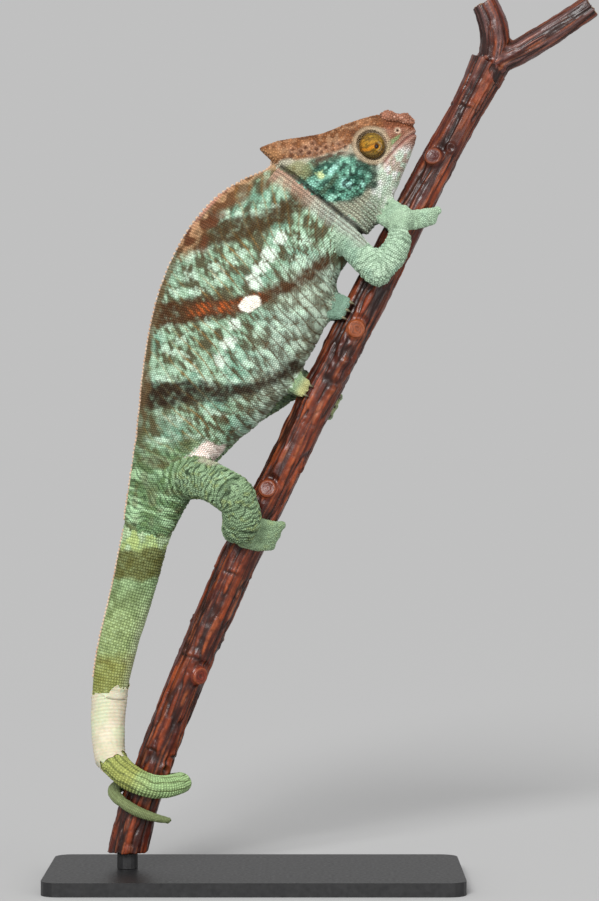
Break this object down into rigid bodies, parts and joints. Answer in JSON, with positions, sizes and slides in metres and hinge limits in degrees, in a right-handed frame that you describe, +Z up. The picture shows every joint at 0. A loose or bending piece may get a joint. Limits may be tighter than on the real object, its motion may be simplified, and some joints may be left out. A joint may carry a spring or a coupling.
{
  "type": "parson's chameleon",
  "caption": "Life-size still model of an adult Parson's chameleon climbing a steep cut branch with its tail coiled round it, held by a short rod on a flat display base.",
  "frame": {"origin": "centre of the underside of the display base", "axes": "+Z up, +X the way the chameleon faces as it climbs, -Y its right side, which is the side shown"},
  "size_m": [0.3192, 0.118, 0.5144],
  "materials": {
    "body_skin": "matte granular scales, mint and turquoise with dark oblique bands",
    "limb_skin": "matte fine scales in fine folds, mint green",
    "tail_skin": "matte fine scales in rings, olive green with dark bands",
    "head_skin": "granular scales, dark teal with turquoise spots",
    "casque_skin": "coarse granular scales, pinkish brown with dark specks",
    "jaw_skin": "fine scales, pale green and pinkish white",
    "eye_skin": "fused lids, fine scales, yellow olive",
    "bark": "satin red-brown bark with lengthwise cracks",
    "stand_metal": "satin black powder coat"
  },
  "bodies": {
    "root": {"belly": "body_skin", "casque": "casque_skin", "chest": "body_skin", "eye_left": "eye_skin", "eye_right": "eye_skin", "head": "head_skin", "left_foot": "limb_skin", "left_foot_inner_digits": "limb_skin", "left_foot_outer_digits": "limb_skin", "left_forearm": "limb_skin", "left_hand": "limb_skin", "left_hand_inner_digits": "limb_skin", "left_hand_outer_digits": "limb_skin", "left_shank": "limb_skin", "left_thigh": "limb_skin", "left_upper_arm": "limb_skin", "lower_jaw": "jaw_skin", "neck": "body_skin", "pelvis": "body_skin", "perch_branch": "bark", "perch_fork_left": "bark", "perch_fork_right": "bark", "right_foot": "limb_skin", "right_foot_inner_digits": "limb_skin", "right_foot_outer_digits": "limb_skin", "right_forearm": "limb_skin", "right_hand": "limb_skin", "right_hand_inner_digits": "limb_skin", "right_hand_outer_digits": "limb_skin", "right_shank": "limb_skin", "right_thigh": "limb_skin", "right_upper_arm": "limb_skin", "rostral_process_left": "casque_skin", "rostral_process_right": "casque_skin", "stand_base": "stand_metal", "stand_rod": "stand_metal", "tail_back_loop": "tail_skin", "tail_base": "tail_skin", "tail_bend": "tail_skin", "tail_front_loop": "tail_skin", "tail_inner_loop": "tail_skin", "tail_middle": "tail_skin", "tail_tip": "tail_skin"}
  },
  "joints": []
}
